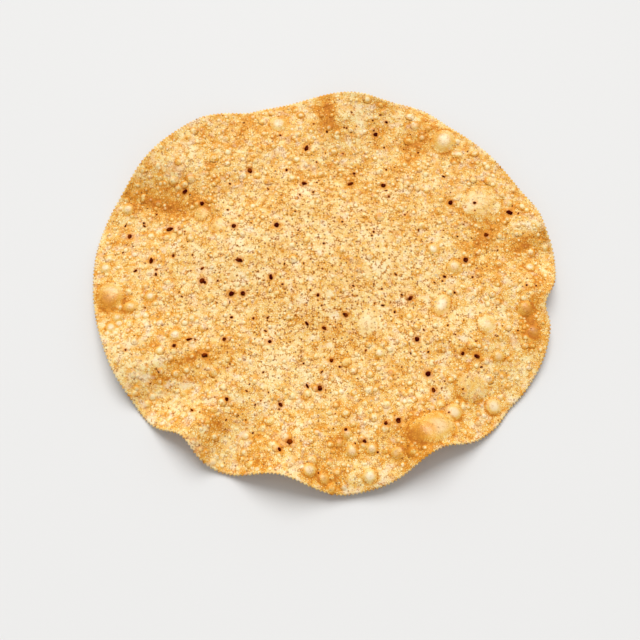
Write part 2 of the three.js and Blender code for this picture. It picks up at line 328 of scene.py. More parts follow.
def crease_height(x, y):
    """Sum of long ridges and valleys.

    Each is e to the power of minus the squared distance along it, and across it e to the power of minus the
    squared distance for a ridge and minus the plain one for a valley, which is sharp but for its rounded
    bottom.
    """
    height = np.zeros_like(x)
    for u, v, _, rise in oval_distances(x, y, CREASES):
        across = v**2 if rise > 0 else np.sqrt(v**2 + CREASE_ROUND**2) - CREASE_ROUND
        height += rise * np.exp(-(u**2) - across)
    return height


def ground_height(x, y, share, angle):
    """Height of the smooth sheet: its folds, swells and creases."""
    return fold_height(share, angle) + swell_height(x, y) + crease_height(x, y)


def blister_height(x, y, blisters):
    """The highest of the oval domes, each one rise times one less the squared distance, a cover and a seam.

    The distance is stretched unevenly, so that no blister is quite an oval, and the dome runs out softly at
    its foot. The cover is nought at a blister's foot, one at the top of a steep one, lower for a flat one,
    and less than nought outside, down to minus one. The seam is a thin bell curve over the foot, fainter for
    a flat blister and in patches.
    """
    height = np.zeros_like(x)
    cover = np.full_like(x, -1.0)
    seam = np.zeros_like(x)
    uneven = 1.0 + UNEVEN * (soft_noise(x, y, UNEVEN_CELL, UNEVEN_SEED) - 0.5)
    strong = 0.3 + soft_noise(x, y, SEAM_CELL, SEAM_SEED)
    for u, v, width, rise in oval_distances(x, y, blisters):
        dome = 1.0 - (u**2 + v**2) * uneven
        height = np.maximum(height, 0.5 * rise * (dome + np.sqrt(dome**2 + SOFT_FOOT**2)))
        taut = min(1.0, rise / width / TAUT_STEEPNESS)
        cover = np.maximum(cover, dome * taut)
        seam = np.maximum(seam, (0.4 + 0.6 * taut) * np.exp(-((dome * width / SEAM_WIDTH) ** 2)))
    return height, cover, seam * strong


def soft_noise(x, y, cell, seed):
    """Random heights from 0 to 1 on a turned square grid, with smooth steps between the grid's points."""
    count = int(2.0 * FIELD / cell) + 3
    draws = np.random.default_rng(seed).random((count, count))
    across = (x * math.cos(seed) - y * math.sin(seed) + FIELD) / cell
    along = (x * math.sin(seed) + y * math.cos(seed) + FIELD) / cell
    column = np.clip(across.astype(int), 0, count - 2)
    row = np.clip(along.astype(int), 0, count - 2)
    u = smoothstep(0.0, 1.0, across - column)
    v = smoothstep(0.0, 1.0, along - row)
    near = draws[column, row] * (1.0 - u) + draws[column + 1, row] * u
    far = draws[column, row + 1] * (1.0 - u) + draws[column + 1, row + 1] * u
    return near * (1.0 - v) + far * v


def skin_height(x, y, share, seed):
    """Unevenness of the skin: soft noises of several sizes, each one times its depth."""
    height = np.zeros_like(x)
    outward = smoothstep(0.35, 0.75, share)
    for number, (cell, inner_depth, outer_depth) in enumerate(DENTS):
        depth = between((inner_depth, outer_depth), outward)
        height += depth * (soft_noise(x, y, cell, seed + number) - 0.5)
    return height


def bubble_table(cell, filled, least, most, seed):
    """Middle, radius and tint of the bubbles of one size.

    Every cell of a square grid may hold one bubble, whose place in the cell, radius and tint are drawn at
    random. More of the cells are filled towards the rim and in the lively regions of a soft noise, fewer
    where the crisp is pale, partly by the painted light of the pale bands, and none on a blister.
    """
    count = int(2.0 * FIELD / cell)
    place_x, place_y, size, tint, chance = np.random.default_rng(seed).random((5, count, count))
    x = ((np.arange(count)[:, None] + place_x) * cell - FIELD).ravel()
    y = ((np.arange(count) + place_y) * cell - FIELD).ravel()
    share = rim_share(x, y)
    lively = CALM + LIVELY * soft_noise(x, y, LIVELY_CELL, seed)
    outward = between((MIDDLE_BUBBLES, 1.0), smoothstep(0.2, 0.6, share))
    browned_and_shaded = between((1.0, PALE_BUBBLES), smoothstep(0.0, 0.5, -toast_and_shade_field(x, y, share, seed)))
    kept = (chance.ravel() < filled * lively * outward * browned_and_shaded) & (share < BUBBLE_REACH)
    kept &= blister_height(x, y, ALL_BLISTERS)[1] < BLISTER_CLEARANCE
    radius = between((least, most), size.ravel() ** 2)
    return np.column_stack((x, y, radius, tint.ravel()))[kept]


def turned_surface(radii, heights, columns, top, bottom):
    """Points and triangles of a closed surface turned round the upright axis, ring by ring from its top."""
    turn = 2.0 * math.pi * np.arange(columns) / columns
    across = np.outer(radii, np.cos(turn))
    along = np.outer(radii, np.sin(turn))
    rings = np.stack((across, along, np.outer(heights, np.ones(columns))), -1).reshape(-1, 3)
    points = np.concatenate(([[0.0, 0.0, top]], rings, [[0.0, 0.0, bottom]]))
    here = np.arange(columns)
    after = (here + 1) % columns
    last = len(points) - 1
    bands = [np.stack((np.zeros_like(here), 1 + here, 1 + after), -1)]
    for high in range(1, last - columns, columns):
        low = high + columns
        bands.append(np.stack((high + here, low + here, low + after), -1))
        bands.append(np.stack((high + here, low + after, high + after), -1))
    low = last - columns
    bands.append(np.stack((low + here, np.full_like(here, last), low + after), -1))
    return points, np.concatenate(bands)


def cap_surface():
    """A unit cap closed by a low cone: points, triangles, and which triangles are the cone's.

    Its height is a power of one less the squared distance, drawn down so that its root lies below the skin.
    """
    out = np.array(BUBBLE_RINGS)
    height = (1.0 - out**2) ** BUBBLE_POWER * (1.0 + BUBBLE_ROOT) - BUBBLE_ROOT
    points, triangles = turned_surface(out, height, BUBBLE_COLUMNS, 1.0, -3.0 * BUBBLE_ROOT)
    return points, triangles, np.arange(len(triangles)) >= len(triangles) - BUBBLE_COLUMNS


def ring_layout(ring_count):
    """Counts and first places of the rings: the middle, rings of 6 k points, and the rim."""
    counts = np.concatenate(([1], RING_STEP * np.arange(1, ring_count + 1), [RIM_POINTS]))
    return counts, np.cumsum(counts) - counts


def face_places(ring_count):
    """Plan position, share of the way to the rim and angle of a face's points, with teeth at the rim."""
    counts, starts = ring_layout(ring_count)
    ring = np.repeat(np.arange(len(counts)), counts)
    place = np.arange(counts.sum()) - starts[ring]
    angle = 2.0 * math.pi * place / counts[ring]
    at_rim = ring == ring_count + 1
    share = np.where(at_rim, 1.0, ring / ring_count * (1.0 - RIM_BAND / RADIUS))
    tooth = np.where(at_rim, np.where(place % 2 == 0, 0.5, -0.5) * TOOTH_DEPTH, 0.0)
    return (*plan(share, angle, tooth), share, angle)


def stitch(inner_start, inner_count, outer_start, outer_count):
    """Triangles between two rings: each edge of one takes the point of the other beside its middle."""
    outer = np.arange(outer_count)
    apex = (np.floor(inner_count * (outer + 0.5) / outer_count - 0.5).astype(int) + 1) % inner_count
    after = (outer + 1) % outer_count
    outward = np.stack((inner_start + apex, outer_start + outer, outer_start + after), -1)
    if inner_count == 1:
        return outward
    inner = np.arange(inner_count)
    apex = np.ceil(outer_count * (inner + 0.5) / inner_count - 0.5).astype(int) % outer_count
    after = (inner + 1) % inner_count
    inward = np.stack((inner_start + inner, outer_start + apex, inner_start + after), -1)
    return np.concatenate((outward, inward))


def face_triangles(ring_count):
    """Triangles of a whole face, ring by ring, anticlockwise from above."""
    counts, starts = ring_layout(ring_count)
    rings = list(zip(starts, counts))
    return np.concatenate([stitch(*inner, *outer) for inner, outer in zip(rings[:-1], rings[1:])])


def plan(share, angle, tooth=0.0):
    """Plan position of a point: the share of the rim's radius, plus the tooth, at its angle."""
    radius = share * rim_radius(angle) + tooth
    return radius * np.cos(angle), radius * np.sin(angle)


def rim_share(x, y):
    """Share of the way to the rim of a place in plan."""
    return np.hypot(x, y) / rim_radius(np.arctan2(y, x))


def upper_face(x, y, share, angle, seed):
    """Height of the upper face, and the cover and seam of its blisters.

    The height is the smooth sheet, the blisters and the uneven skin, which is smoother on a taut blister and
    next to the rim.
    """
    blisters, cover, seam = blister_height(x, y, ALL_BLISTERS)
    taut = 1.0 - 0.85 * smoothstep(0.0, 0.3, cover)
    rim_fade = 1.0 - 0.6 * smoothstep(0.975, 0.995, share)
    skin = skin_height(x, y, share, seed + SKIN_DRAWS) * taut * rim_fade
    return ground_height(x, y, share, angle) + blisters + skin, cover, seam


def seat_height(x, y, seed):
    """Height of the upper face over a place in plan."""
    return upper_face(x, y, rim_share(x, y), np.arctan2(y, x), seed)[0]


def lower_face(x, y, share, angle, thickness, seed):
    """Height of the lower face: the smooth sheet less the thickness, with an uneven skin and no blisters."""
    rim_fade = 1.0 - smoothstep(0.96, 0.99, share)
    skin = skin_height(x, y, share, seed + SKIN_DRAWS) * rim_fade
    return ground_height(x, y, share, angle) - thickness + skin


def toast_and_shade_field(x, y, share, seed):
    """How toasted and shaded each point is: bands that fall off with the squared distance, partly painted
    shade and light, and an uneven browning.
    """
    toast_and_shade = np.zeros_like(x)
    for u, v, _, strength in oval_distances(x, y, TOASTED_AND_SHADED_BANDS):
        toast_and_shade += strength * np.exp(-(u**2) - v**2)
    uneven = sum(part * soft_noise(x, y, cell, seed + k) for k, (cell, part) in enumerate(BROWNING))
    browning = BROWNING_STRENGTH * (uneven - 0.5) + RIM_BROWNING * smoothstep(0.55, 0.95, share)
    return np.clip(toast_and_shade * (0.6 + 0.8 * uneven) + browning, *TOAST_AND_SHADE_RANGE)


def halo_field(x, y, grains):
    """How near the closest pepper grain is: one on the grain and nought at three times its radius."""
    halo = np.zeros_like(x)
    for grain_x, grain_y, radius in grains:
        gap = np.hypot(x - grain_x, y - grain_y) / radius
        halo = np.maximum(halo, 1.0 - smoothstep(1.0, 3.0, gap))
    return halo


def crisp_marks(x, y, share, seed, **given):
    """Marks that the material reads: plain skin's, but for the given ones."""
    plain = {
        "crown": np.full_like(x, -1.0),
        "tint": np.full_like(x, 0.5),
        "toast_and_shade": toast_and_shade_field(x, y, share, seed + TOAST_DRAWS),
        "halo": np.zeros_like(x),
        "rim": smoothstep(0.988, 1.0, share),
        "fine": 1.0 - 0.75 * smoothstep(0.2, 0.9, share),
        "blister": np.full_like(x, -1.0),
        "seam": np.zeros_like(x),
    }
    return plain | given


def ground_shift(thickness):
    """What the sheet moves by so that its box stands on the ground with its middle at the origin."""
    x, y, share, angle = (values[-RIM_POINTS:] for values in face_places(1))
    low = ground_height(x, y, share, angle) - thickness
    return -np.array(((x.min() + x.max()) / 2.0, (y.min() + y.max()) / 2.0, low.min()))


def strewn_pepper(draws, count, width, crowding, reach, sizes, smallness):
    """Middle and radius of pepper strewn by chance over the disc, but not on the largest blisters."""
    share = draws.random(count) ** crowding * reach
    angle = 2.0 * math.pi * draws.random(count)
    x, y = plan(share, angle)
    radius = 0.5 * width / MM * between(sizes, draws.random(count) ** smallness)
    bare = blister_height(x, y, BLISTERS)[1] < 0.0
    return np.column_stack((x, y, radius))[bare]


def grain_table(settings):
    """Middle and radius of every pepper grain: the listed ones, then lesser ones all over the disc."""
    draws = np.random.default_rng(settings.seed + GRAIN_DRAWS)
    listed = np.array(GRAINS, float)
    sizes = 0.5 * settings.grain_width / MM * between(LISTED_SIZES, draws.random(len(listed)))
    lesser = strewn_pepper(draws, settings.lesser_grains, settings.grain_width, *LESSER)
    return np.concatenate((np.column_stack((listed, sizes)), lesser))


def speck_table(settings):
    """Middle and radius of the fine pepper, which gathers towards the middle of the disc."""
    draws = np.random.default_rng(settings.seed + SPECK_DRAWS)
    return strewn_pepper(draws, settings.speck_count, settings.speck_width, *SPECKS)


def scattered_lumps(table, heights, rows, columns, flatness, seed):
    """Many lumps in one mesh: balls roughened and drawn out by chance, turned, sized and put in place."""
    draws = np.random.default_rng(seed)
    polar = math.pi * np.arange(1, rows) / rows
    ball, triangles = turned_surface(np.sin(polar), np.cos(polar), columns, 1.0, -1.0)
    count = len(table)
    rough = 1.0 + PEPPER_ROUGHNESS * (draws.random((count, len(ball), 1)) - 0.5)
    stretch = 1.0 + PEPPER_STRETCH * draws.random((count, 1)) ** 2
    turn = 2.0 * math.pi * draws.random((count, 1))
    lumps = ball[None] * rough
    along = lumps[..., 0] * stretch
    across = lumps[..., 1] / np.sqrt(stretch)
    radius = table[:, 2:3]
    points = np.stack((
        table[:, 0:1] + radius * (along * np.cos(turn) - across * np.sin(turn)),
        table[:, 1:2] + radius * (along * np.sin(turn) + across * np.cos(turn)),
        heights[:, None] + radius * flatness * lumps[..., 2],
    ), -1)
    faces = triangles[None] + len(ball) * np.arange(count)[:, None, None]
    return points.reshape(-1, 3), faces.reshape(-1, 3)


def add_mesh(name, points, triangles, attributes=None, sharp=None):
    """A mesh object at the origin from arrays in metres, smooth but for the sharp triangles."""
    mesh = bpy.data.meshes.new(name)
    mesh.vertices.add(len(points))
    mesh.vertices.foreach_set("co", points.astype(np.float32).ravel())
    mesh.loops.add(3 * len(triangles))
    mesh.loops.foreach_set("vertex_index", triangles.astype(np.int32).ravel())
    mesh.polygons.add(len(triangles))
    mesh.polygons.foreach_set("loop_start", np.arange(0, 3 * len(triangles), 3, dtype=np.int32))
    mesh.update(calc_edges=True)
    if mesh.validate():
        raise RuntimeError(f"{name}: the mesh had faces that don't fit together")
    flat = np.zeros(len(triangles), bool) if sharp is None else sharp
    mesh.polygons.foreach_set("use_smooth", ~flat)
    for key, values in (attributes or {}).items():
        mesh.attributes.new(key, "FLOAT", "POINT").data.foreach_set("value", values.astype(np.float32))
    made = bpy.data.objects.new(name, mesh)
    bpy.context.scene.collection.objects.link(made)
    return made


class Value:
    """A shader socket that takes part in Python expressions: each operator adds one Math node."""

    def __init__(self, graph, socket):
        self.graph = graph
        self.socket = socket

    def math(self, operation, first, second):
        return self.graph.node("ShaderNodeMath", {"operation": operation}, {0: first, 1: second})

    def __add__(self, other):
        return self.math("ADD", self, other)

    __radd__ = __add__

    def __sub__(self, other):
        return self.math("SUBTRACT", self, other)

    def __rsub__(self, other):
        return self.math("SUBTRACT", other, self)

    def __mul__(self, other):
        return self.math("MULTIPLY", self, other)

    __rmul__ = __mul__

    def __truediv__(self, other):
        return self.math("DIVIDE", self, other)


class Graph:
    """The nodes of one material, made by one method, with patterns laid in the object's own space."""

    def __init__(self, name):
        self.material = bpy.data.materials.new(name)
        self.material.use_nodes = True
        self.tree = self.material.node_tree
        self.tree.nodes.clear()
        self.place = self.node("ShaderNodeTexCoord", output="Object")

    def node(self, kind, settings=None, inputs=None, output=0):
        """Adds a node, sets its settings, then sets or links its sockets, and returns one output."""
        made = self.tree.nodes.new(kind)
        for key, value in (settings or {}).items():
            setattr(made, key, value)
        for key, value in (inputs or {}).items():
            if isinstance(value, Value):
                self.tree.links.new(value.socket, made.inputs[key])
            else:
                made.inputs[key].default_value = value
        return Value(self, made.outputs[output]) if made.outputs else made

    def ramp(self, factor, stops):
        """Colour picked by a value along stops, each one a position and a colour."""
        picked = self.node("ShaderNodeValToRGB", None, {0: factor})
        elements = picked.socket.node.color_ramp.elements
        elements.remove(elements[1])
        elements[0].position, elements[0].color = stops[0]
        for position, colour in stops[1:]:
            elements.new(position).color = colour
        return picked

    def attribute(self, name):
        return self.node("ShaderNodeAttribute", {"attribute_name": name}, output="Fac")

    def step(self, value, low, high):
        """Smooth step of a value from nought at low to one at high."""
        settings = {"interpolation_type": "SMOOTHSTEP", "clamp": True}
        inputs = {"Value": value, "From Min": low, "From Max": high}
        return self.node("ShaderNodeMapRange", settings, inputs)

    def mix(self, factor, first, second):
        """Colour mix: first where the factor is nought, second where it is one."""
        settings = {"data_type": "RGBA", "clamp_factor": True}
        return self.node("ShaderNodeMix", settings, {0: factor, 6: first, 7: second}, output=2)

    def noise(self, scale, detail=2.0):
        inputs = {"Vector": self.place, "Scale": scale, "Detail": detail}
        return self.node("ShaderNodeTexNoise", None, inputs)

    def cells(self, scale, output="Distance", feature="F1"):
        settings = {"voronoi_dimensions": "2D", "feature": feature}
        return self.node("ShaderNodeTexVoronoi", settings, {"Vector": self.place, "Scale": scale}, output)

    def channel(self, colour, number):
        return self.node("ShaderNodeSeparateColor", None, {0: colour}, number)

    def bump(self, strength, height):
        inputs = {"Strength": strength, "Distance": BUMP_DEPTH, "Height": height}
        return self.node("ShaderNodeBump", None, inputs)

    def surface(self, inputs):
        shader = self.node("ShaderNodeBsdfPrincipled", None, inputs)
        self.node("ShaderNodeOutputMaterial", None, {"Surface": shader})
        return self.material


def rgba(colour):
    return (*colour, 1.0)


class CrispFinish(Graph):
    """Fried crisp: the patterns that its colour, gloss and relief share, and its coats of colour, among them
    painted highlights and painted shade.
    """

    def __init__(self, colours):
        super().__init__(CRISP)
        self.colours = colours
        self.tint = self.attribute("tint")
        self.toast_and_shade = self.attribute("toast_and_shade")
        self.halo = self.attribute("halo")
        self.fine = self.attribute("fine")
        self.blister = self.attribute("blister")
        self.seam = self.attribute("seam")
        self.mottle = self.noise(420.0)
        self.lined = self.noise(600.0)
        self.wall = self.cells(900.0, feature="DISTANCE_TO_EDGE")
        self.tiny, self.tiny_shaded_foot = self.foam(1100.0, 1.0)
        self.small, self.small_shaded_foot = self.foam(520.0, 0.85)
        crown = self.attribute("crown")
        bubble = self.step(crown, -0.1, 0.1)
        # The peak is the top of a bubble, painted paler as a highlight and made glossier; the flank takes
        # painted shade
        self.peak = self.step(crown, 0.45, 1.0)
        self.shaded_flank = bubble * (1.0 - self.step(crown, 0.1, 0.7))
        self.skin = self.step(self.blister, 0.05, 0.6)
        # How far the crisp is browned, together with the painted shade of the toasted bands
        self.browned_and_shaded = self.step(self.toast_and_shade, 0.0, 0.5)
        self.loose = (1.0 - 0.5 * self.skin) * (1.0 - 0.35 * bubble)

    def foam(self, scale, filled):
        """Tiny round bubbles in some cells of a scatter: the dome of each, and the line round its foot, which
        the colour takes as painted shade.
        """
        draw = self.cells(scale, "Color")
        there = self.step(self.channel(draw, 0), 1.0 - filled, 1.05 - filled)
        away = self.cells(scale) / (0.26 + 0.2 * self.channel(draw, 1))
        dome = (1.0 - self.step(away, 0.1, 1.0)) * there
        foot = self.step(away, 0.7, 0.95) * (1.0 - self.step(away, 1.0, 1.3)) * there
        return dome, foot

    def spots(self, scale, low, high):
        """Soft spots: nought where a noise is below low and one where it is above high."""
        return self.step(self.noise(scale), low, high)

    def coat(self, factor, under, over):
        """One colour laid over another, as thick as the factor."""
        return self.mix(factor, under, rgba(over))

    def paleness(self):
        """How pale the crisp is: foam and bubbles with painted highlights on their domes and painted shade
        round them, cloudy mottling, toasting with the painted shade and light of its bands, and the cut rim,
        added up.
        """
        pale = 0.585 + 0.13 * self.fine
        # Painted highlights on the foam's domes and painted shade round their feet
        pale = pale + 0.6 * (self.tiny - self.tiny_shaded_foot) * self.loose * (0.65 + 0.35 * self.fine)
        pale = pale + (0.24 * self.small - 0.26 * self.small_shaded_foot) * self.loose
        # Painted highlight on the tops of the bubbles, and painted shade on their flanks
        pale = pale + (0.16 + 0.2 * self.tint) * self.peak - 0.08 * self.shaded_flank - 0.4 * self.seam
        cloud = 1.4 * (self.mottle - 0.5) + 1.35 * (self.noise(190.0) - 0.5)
        cloud = cloud + 0.4 * (self.noise(70.0) - 0.5)
        pale = pale + cloud * (1.0 - 0.55 * self.skin)
        # Toasting darkens, together with the bands' painted shade; the pale bands lighten as painted light
        return pale - 0.41 * self.toast_and_shade * (1.1 - 0.4 * self.peak) + 0.2 * self.attribute("rim")

    def golden(self):
        """A run of colours from brown to cream, with an orange flush in spots, and painted orange shade on
        the bubbles' flanks.
        """
        colours = self.colours
        colour = self.ramp(self.paleness(), (
            (0.00, rgba(colours.brown)),
            (0.20, rgba(colours.amber)),
            (0.44, rgba(colours.gold)),
            (0.68, rgba(colours.pale)),
            (0.95, rgba(colours.cream)),
        ))
        flush = self.spots(360.0, 0.48, 0.66) * (0.5 - 0.3 * self.fine)
        colour = self.coat(flush, colour, colours.blush)
        # Painted orange shade on the bubbles' flanks
        return self.coat(0.35 * self.shaded_flank, colour, colours.blush)

    def milky(self, colour):
        """Milky spots where the crisp isn't toasted, painted highlights on the tops of some bubbles and of
        the blisters, and the blisters' skin.
        """
        milk_and_highlight = 0.4 * self.spots(300.0, 0.52, 0.68) + 0.3 * self.spots(150.0, 0.55, 0.68)
        milk_and_highlight = milk_and_highlight * (1.0 - self.step(self.toast_and_shade + self.seam, 0.0, 0.5))
        # Painted highlight on the tops of some bubbles
        milk_and_highlight = milk_and_highlight + 0.3 * self.peak * self.step(self.tint, 0.3, 1.0)
        colour = self.coat(milk_and_highlight * (1.0 - 0.8 * self.skin), colour, self.colours.milk_and_highlight)
        colour = self.coat(self.skin * (0.32 - 0.15 * self.browned_and_shaded), colour, self.colours.skin)
        # Painted highlight on the blisters' tops, fainter where the crisp is browned
        top = self.step(self.blister, 0.55, 1.0) * (0.7 - 0.62 * self.browned_and_shaded)
        return self.coat(top, colour, self.colours.milk_and_highlight)

    def reddened(self, colour):
        """Red freckles in clusters, and the flushed skin round the pepper."""
        freckle = self.spots(600.0, 0.57, 0.68) * self.spots(130.0, 0.5, 0.6) * (1.0 - self.skin)
        red = self.step(freckle + 1.2 * (self.mottle - 0.5), 0.3, 0.9)
        colour = self.coat(0.8 * red, colour, self.colours.blush)
        colour = self.coat(0.5 * self.step(self.halo, 0.0, 0.7), colour, self.colours.blush)
        return self.coat(0.5 * self.step(self.halo, 0.5, 1.0), colour, self.colours.rust)

    def dark_marks(self):
        """Short dark dashes along the walls of a cell pattern, and pits in some cells of a wider one."""
        dash = (1.0 - self.step(self.wall, 0.035, 0.13)) * self.step(self.lined, 0.55, 0.59)
        picked = self.step(self.channel(self.cells(420.0, "Color"), 0), 0.75, 0.8)
        pit = (1.0 - self.step(self.cells(420.0), 0.09, 0.22)) * picked
        return (dash + pit) * (0.5 + 0.5 * self.fine) * self.loose

    def finish(self):
        """All the coats in order, with a dry gloss and a fine relief."""
        colour = self.reddened(self.milky(self.golden()))
        fringe = (1.0 - self.step(self.wall, 0.08, 0.42)) * self.step(self.lined, 0.5, 0.59)
        colour = self.coat(0.8 * fringe * (0.3 + 0.7 * self.fine) * self.loose, colour, self.colours.amber)
        dark = self.dark_marks()
        colour = self.coat(dark, colour, self.colours.pit)
        relief = (self.tiny + self.small - 0.5 * dark) * self.loose
        dry = 0.72 + 0.15 * (self.noise(1100.0) - 0.5)
        roughness = dry - 0.35 * self.peak - 0.42 * self.skin + 0.2 * dark
        return self.surface({
            "Base Color": colour,
            "Roughness": roughness,
            "Normal": self.bump(0.35, relief),
            "Specular IOR Level": 0.4,
        })


def pepper_material(colours):
    """Cracked pepper: nearly black, browner where the skin is worn through."""
    graph = Graph("cracked_pepper")
    worn = graph.noise(500.0, 3.0)
    colour = graph.mix(graph.step(worn, 0.42, 0.72), rgba(colours.char), rgba(colours.bark))
    return graph.surface({
        "Base Color": colour,
        "Roughness": 0.6 + 0.2 * worn,
        "Normal": graph.bump(0.6, worn),
        "Specular IOR Level": 0.03,
    })


def floor_material(colours):
    """Pale matt floor with a faint unevenness."""
    graph = Graph("pale_floor")
    uneven = graph.noise(3.0)
    colour = graph.mix(uneven * 0.15, rgba(colours.floor), rgba(0.93 * value for value in colours.floor))
    return graph.surface({"Base Color": colour, "Roughness": 0.7})


def colour_property(name, description, default):
    return FloatVectorProperty(
        name=name, description=description, default=default, subtype="COLOR", size=3, min=0.0, max=1.0)


def length_property(name, description, default):
    return FloatProperty(name=name, description=description, default=default, unit="LENGTH")


def angle_property(name, description, degrees):
    return FloatProperty(name=name, description=description, default=math.radians(degrees), subtype="ANGLE")


class PapadumColours(bpy.types.PropertyGroup):
    """Colours of the crisp, the pepper and the floor."""

    brown: colour_property("Brown", "Deepest browning", (0.56, 0.165, 0.002))
    # Amber is also the painted shade at the bubbles' feet and in the toasted bands on the folds
    amber: colour_property("Amber", "Feet of the bubbles and toasted patches", (0.78, 0.29, 0.006))
    gold: colour_property("Gold", "Main colour of the fried skin", (0.87, 0.485, 0.08))
    # Pale is also the painted highlight on the tops of the bubbles
    pale: colour_property("Pale", "Tops of the bubbles", (0.93, 0.655, 0.215))
    cream: colour_property("Cream", "Palest spots", (0.965, 0.80, 0.42))
    # Milk is also the painted highlight on the tops of bubbles and blisters
    milk_and_highlight: colour_property("Milk", "Milky spots, bubbles and blister tops", (0.98, 0.84, 0.59))
    skin: colour_property("Skin", "Taut skin of the blisters", (0.78, 0.44, 0.075))
    rust: colour_property("Rust", "Skin next to the pepper", (0.60, 0.16, 0.010))
    # Blush is also the painted orange shade on the bubbles' flanks
    blush: colour_property("Blush", "Flush, freckles and skin round the pepper", (0.88, 0.33, 0.02))
    pit: colour_property("Pit", "Fine dark dashes and pits", (0.25, 0.06, 0.0))
    char: colour_property("Char", "Pepper", (0.055, 0.0015, 0.0))
    bark: colour_property("Bark", "Worn pepper", (0.24, 0.036, 0.0))
    floor: colour_property("Floor", "Pale floor", (0.78, 0.775, 0.765))


class PapadumSheet(bpy.types.PropertyGroup):
    """Sizes of the sheet and its pepper."""

    thickness: length_property("Thickness", "Thickness of the sheet at the rim", 0.0012)
    sink: length_property("Sink", "How far the skin is let in to leave height for the bubbles", 0.00015)
    grain_width: length_property("Grain width", "Width of a large pepper grain", 0.0019)
    lesser_grains: IntProperty(
        name="Lesser grains", description="Count of the lesser pepper grains", default=40, min=0)
    speck_width: length_property("Speck width", "Width of a fine pepper speck", 0.0008)
    speck_count: IntProperty(
        name="Specks", description="Count of the fine pepper specks", default=330, min=0)
    seed: IntProperty(name="Seed", description="Seed of the bubbles, the browning and the pepper", default=5)


class PapadumView(bpy.types.PropertyGroup):
    """Camera and light of the stage."""

    lens: FloatProperty(name="Lens", description="Focal length in millimetres", default=43.9)
    elevation: angle_property("Elevation", "Angle of the view above the ground", 69.6)
    distance: length_property("Distance", "From the camera to the point that it aims at", 0.3325)
    aim: FloatVectorProperty(
        name="Aim", description="Point that the camera looks at", default=(-0.0021, -0.0200, 0.006),
        subtype="TRANSLATION", unit="LENGTH")
    key_strength: FloatProperty(name="Key", description="Strength of the light from behind", default=2.4)
    key_angle: angle_property("Key angle", "Width of the light from behind", 40.0)
    sky: FloatProperty(name="Sky", description="Strength of the even light all round", default=0.48)


class PAPADUM_OT_sheet(bpy.types.Operator):
    """Adds the blistered sheet with its toothed rim"""

    bl_idname = "papadum.sheet"
    bl_label = "Add sheet"

    def execute(self, context):
        settings = context.scene.papadum_sheet
        shift = ground_shift(settings.thickness / MM)
        piece = self.join_faces(self.upper(settings), self.lower(settings, -shift[2]), shift)
        piece.data.materials.append(CrispFinish(context.scene.papadum_colours).finish())
        self.check_box(piece)
        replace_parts(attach(piece, BODY), NODE)
        return {"FINISHED"}

    @staticmethod
    def upper(settings):
        """Points, triangles and marks of the upper face, which is let in all over but at the rim."""
        x, y, share, angle = face_places(UPPER_RINGS)
        height, cover, seam = upper_face(x, y, share, angle, settings.seed)
        height = height - settings.sink / MM * (1.0 - smoothstep(0.97, 1.0, share))
        pepper = np.concatenate((grain_table(settings), speck_table(settings)))
        halo = halo_field(x, y, pepper)
        marks = crisp_marks(x, y, share, settings.seed, halo=halo, blister=cover, seam=seam)
        return np.column_stack((x, y, height)), face_triangles(UPPER_RINGS), marks

    @staticmethod
    def lower(settings, ground):
        """The same of the lower face, which is nowhere below the ground."""
        x, y, share, angle = face_places(LOWER_RINGS)
        height = lower_face(x, y, share, angle, settings.thickness / MM, settings.seed + UNDERSIDE_DRAWS)
        marks = crisp_marks(x, y, share, settings.seed)
        return np.column_stack((x, y, np.maximum(height, ground))), face_triangles(LOWER_RINGS), marks

    @staticmethod
    def join_faces(upper_side, lower_side, shift):
        """One closed shell: the upper face, the lower face turned over, and the bulging wall of the rim."""
        upper, upper_triangles, upper_marks = upper_side
        lower, lower_triangles, lower_marks = lower_side
        top_rim = np.arange(len(upper) - RIM_POINTS, len(upper))
        low_rim = np.arange(len(lower) - RIM_POINTS, len(lower))
        middle = (upper[top_rim] + lower[low_rim]) / 2.0
        outward = middle[:, :2] / np.linalg.norm(middle[:, :2], axis=1, keepdims=True)
        middle[:, :2] += EDGE_BULGE * outward
        points = np.concatenate((upper, lower, middle))
        rings = (top_rim, len(upper) + len(lower) + np.arange(RIM_POINTS), len(upper) + low_rim)
        wall = []
        for high, low in zip(rings[:-1], rings[1:]):
            after_high = np.roll(high, -1)
            after_low = np.roll(low, -1)
            wall.append(np.stack((high, low, after_low), -1))
            wall.append(np.stack((high, after_low, after_high), -1))
        triangles = np.concatenate((upper_triangles, len(upper) + lower_triangles[:, ::-1], *wall))
        sharp = np.zeros(len(triangles), bool)
        sharp[len(upper_triangles) + len(lower_triangles):] = True
        marks = {
            key: np.concatenate((values, lower_marks[key], values[top_rim]))
            for key, values in upper_marks.items()
        }
        return add_mesh("papadum_sheet", (points + shift) * MM, triangles, marks, sharp)

    @staticmethod
    def check_box(piece):
        """Stops where the sheet doesn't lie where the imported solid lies."""
        low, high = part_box(NODE)
        corners = np.array([vertex[:] for vertex in piece.bound_box])
        gap = max(np.abs(corners.min(0) - low)[:2].max(), np.abs(corners.max(0) - high)[:2].max())
        if gap > MM:
            raise RuntimeError(f"the sheet is {gap / MM:.2f} mm off the packed solid")


